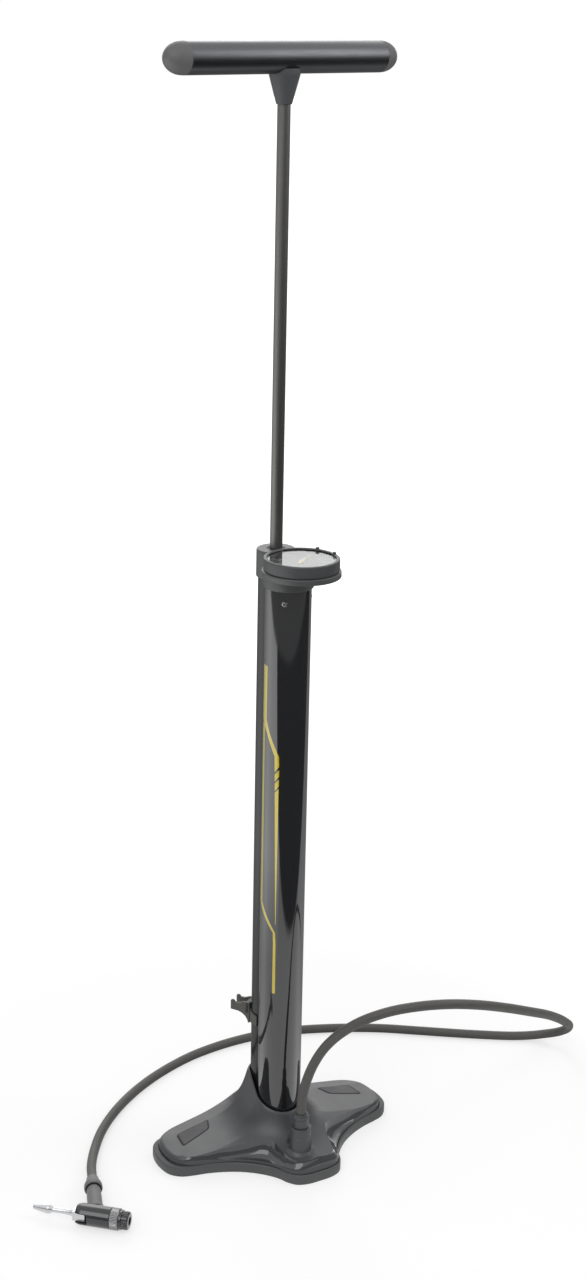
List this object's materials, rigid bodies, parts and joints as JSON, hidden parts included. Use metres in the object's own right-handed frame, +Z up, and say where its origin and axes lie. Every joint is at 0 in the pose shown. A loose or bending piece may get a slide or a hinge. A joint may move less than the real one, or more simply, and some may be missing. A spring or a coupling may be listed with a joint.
{
  "type": "floor bike pump",
  "caption": "Floor bicycle pump: tall barrel with an air tank beside it, T handle, top gauge, winged base, hose and lever chuck.",
  "frame": {"origin": "on the floor, on the axis of the pump barrel", "axes": "+Z up along the barrel, -Y towards the gauge and the front foot, +X towards the right wing"},
  "size_m": [0.6831, 0.3449, 1.1362],
  "materials": {
    "tray": "matte moulded",
    "cover": "glossy moulded",
    "grip": "fine pebbled rubber",
    "steel": "zinc plated",
    "nylon": "natural nylon",
    "black_rubber": "smooth rubber",
    "tube_paint": "gloss black paint over steel",
    "housing": "matte moulded",
    "rod_finish": "dark polished steel",
    "handle_metal": "dark anodised, satin gloss",
    "handle_plastic": "matte moulded",
    "alloy": "machined",
    "brass": "plain brass",
    "dial": "printed dial, plain numbers",
    "needle": "yellow pointer",
    "lens": "clear lens",
    "marker": "red marker",
    "hose_rubber": "matte rubber",
    "chuck_black": "gloss moulded",
    "silver": "bright plated"
  },
  "bodies": {
    "root": {"base_tray": "tray", "base_cover": "cover", "grip_pads": "grip", "base_screws": "steel", "valve_manifold": "housing", "socket_seals": "black_rubber", "check_spring": "steel", "outlet_elbow": "housing", "hose_nut": "housing", "barrel_tube": "tube_paint", "barrel_cap": "housing", "rod_bushing": "nylon", "rod_wiper": "black_rubber", "tank_tube": "tube_paint", "tank_plug": "alloy", "tank_seal": "black_rubber", "tank_screws": "steel", "gauge_housing": "housing", "gauge_stem": "brass", "gauge_case": "steel", "bourdon_tube": "brass", "sector_post": "steel", "gauge_dial": "dial", "lens_spacer": "housing", "gauge_lens": "lens", "hose_clip": "housing", "hose": "hose_rubber", "hose_ferrule": "housing", "chuck_stem": "housing", "chuck_body": "chuck_black", "chuck_ring": "silver", "chuck_cap": "chuck_black", "chuck_gasket": "black_rubber", "lever_pin": "steel"},
    "piston": {"piston_head": "nylon", "piston_cup": "black_rubber", "top_bumper": "black_rubber"},
    "rod": {"piston_bolt": "steel", "piston_rod": "rod_finish", "handle_neck": "handle_plastic", "handle_core": "alloy", "handle_nut": "steel", "handle_tube": "handle_metal", "handle_caps": "handle_plastic"},
    "poppet": {"check_poppet": "nylon"},
    "sector": {"sector_gear": "brass"},
    "needle": {"pinion": "brass", "gauge_needle": "needle"},
    "bezel": {"gauge_bezel": "housing", "bezel_markers": "marker"},
    "plunger": {"chuck_plunger": "nylon"},
    "lever": {"chuck_lever": "silver"}
  },
  "joints": [
    {"name": "rod_slide", "type": "slide", "parent": "root", "child": "piston", "axis": [0, 0, 1], "range_m": [-0.4225, 0.149]},
    {"name": "handle_spin", "type": "hinge", "parent": "piston", "child": "rod", "pos_m": [0, 0, 0.9], "axis": [0, 0, 1], "continuous": true},
    {"name": "check_valve", "type": "slide", "parent": "root", "child": "poppet", "axis": [0, 0, 1], "range_m": [-0.0015, 0], "stiffness_N_per_m": 250, "springref_m": 0.002, "deforming": ["check_spring"]},
    {"name": "sector_swing", "type": "hinge", "parent": "root", "child": "sector", "pos_m": [0, -0.029, 0.655], "axis": [0, 0, 1], "range_deg": [0, 45], "stiffness_Nm_per_rad": 0.002},
    {"name": "needle_turn", "type": "hinge", "parent": "root", "child": "needle", "pos_m": [0, -0.057, 0.655], "axis": [0, 0, 1], "range_deg": [-270, 0]},
    {"name": "bezel_turn", "type": "hinge", "parent": "root", "child": "bezel", "pos_m": [0, -0.057, 0.655], "axis": [0, 0, 1], "continuous": true},
    {"name": "lever_swing", "type": "hinge", "parent": "root", "child": "lever", "pos_m": [-0.23988, -0.07819, 0.011], "axis": [0, 0, 1], "range_deg": [0, 90]},
    {"name": "plunger_slide", "type": "slide", "parent": "root", "child": "plunger", "axis": [0.7771, -0.6293, 0], "range_m": [0, 0.0012]}
  ],
  "couplings": [
    {"joint": "needle_turn", "follows": "sector_swing", "ratio": -6},
    {"joint": "plunger_slide", "follows": "lever_swing", "m_per_rad": 0.0007}
  ]
}
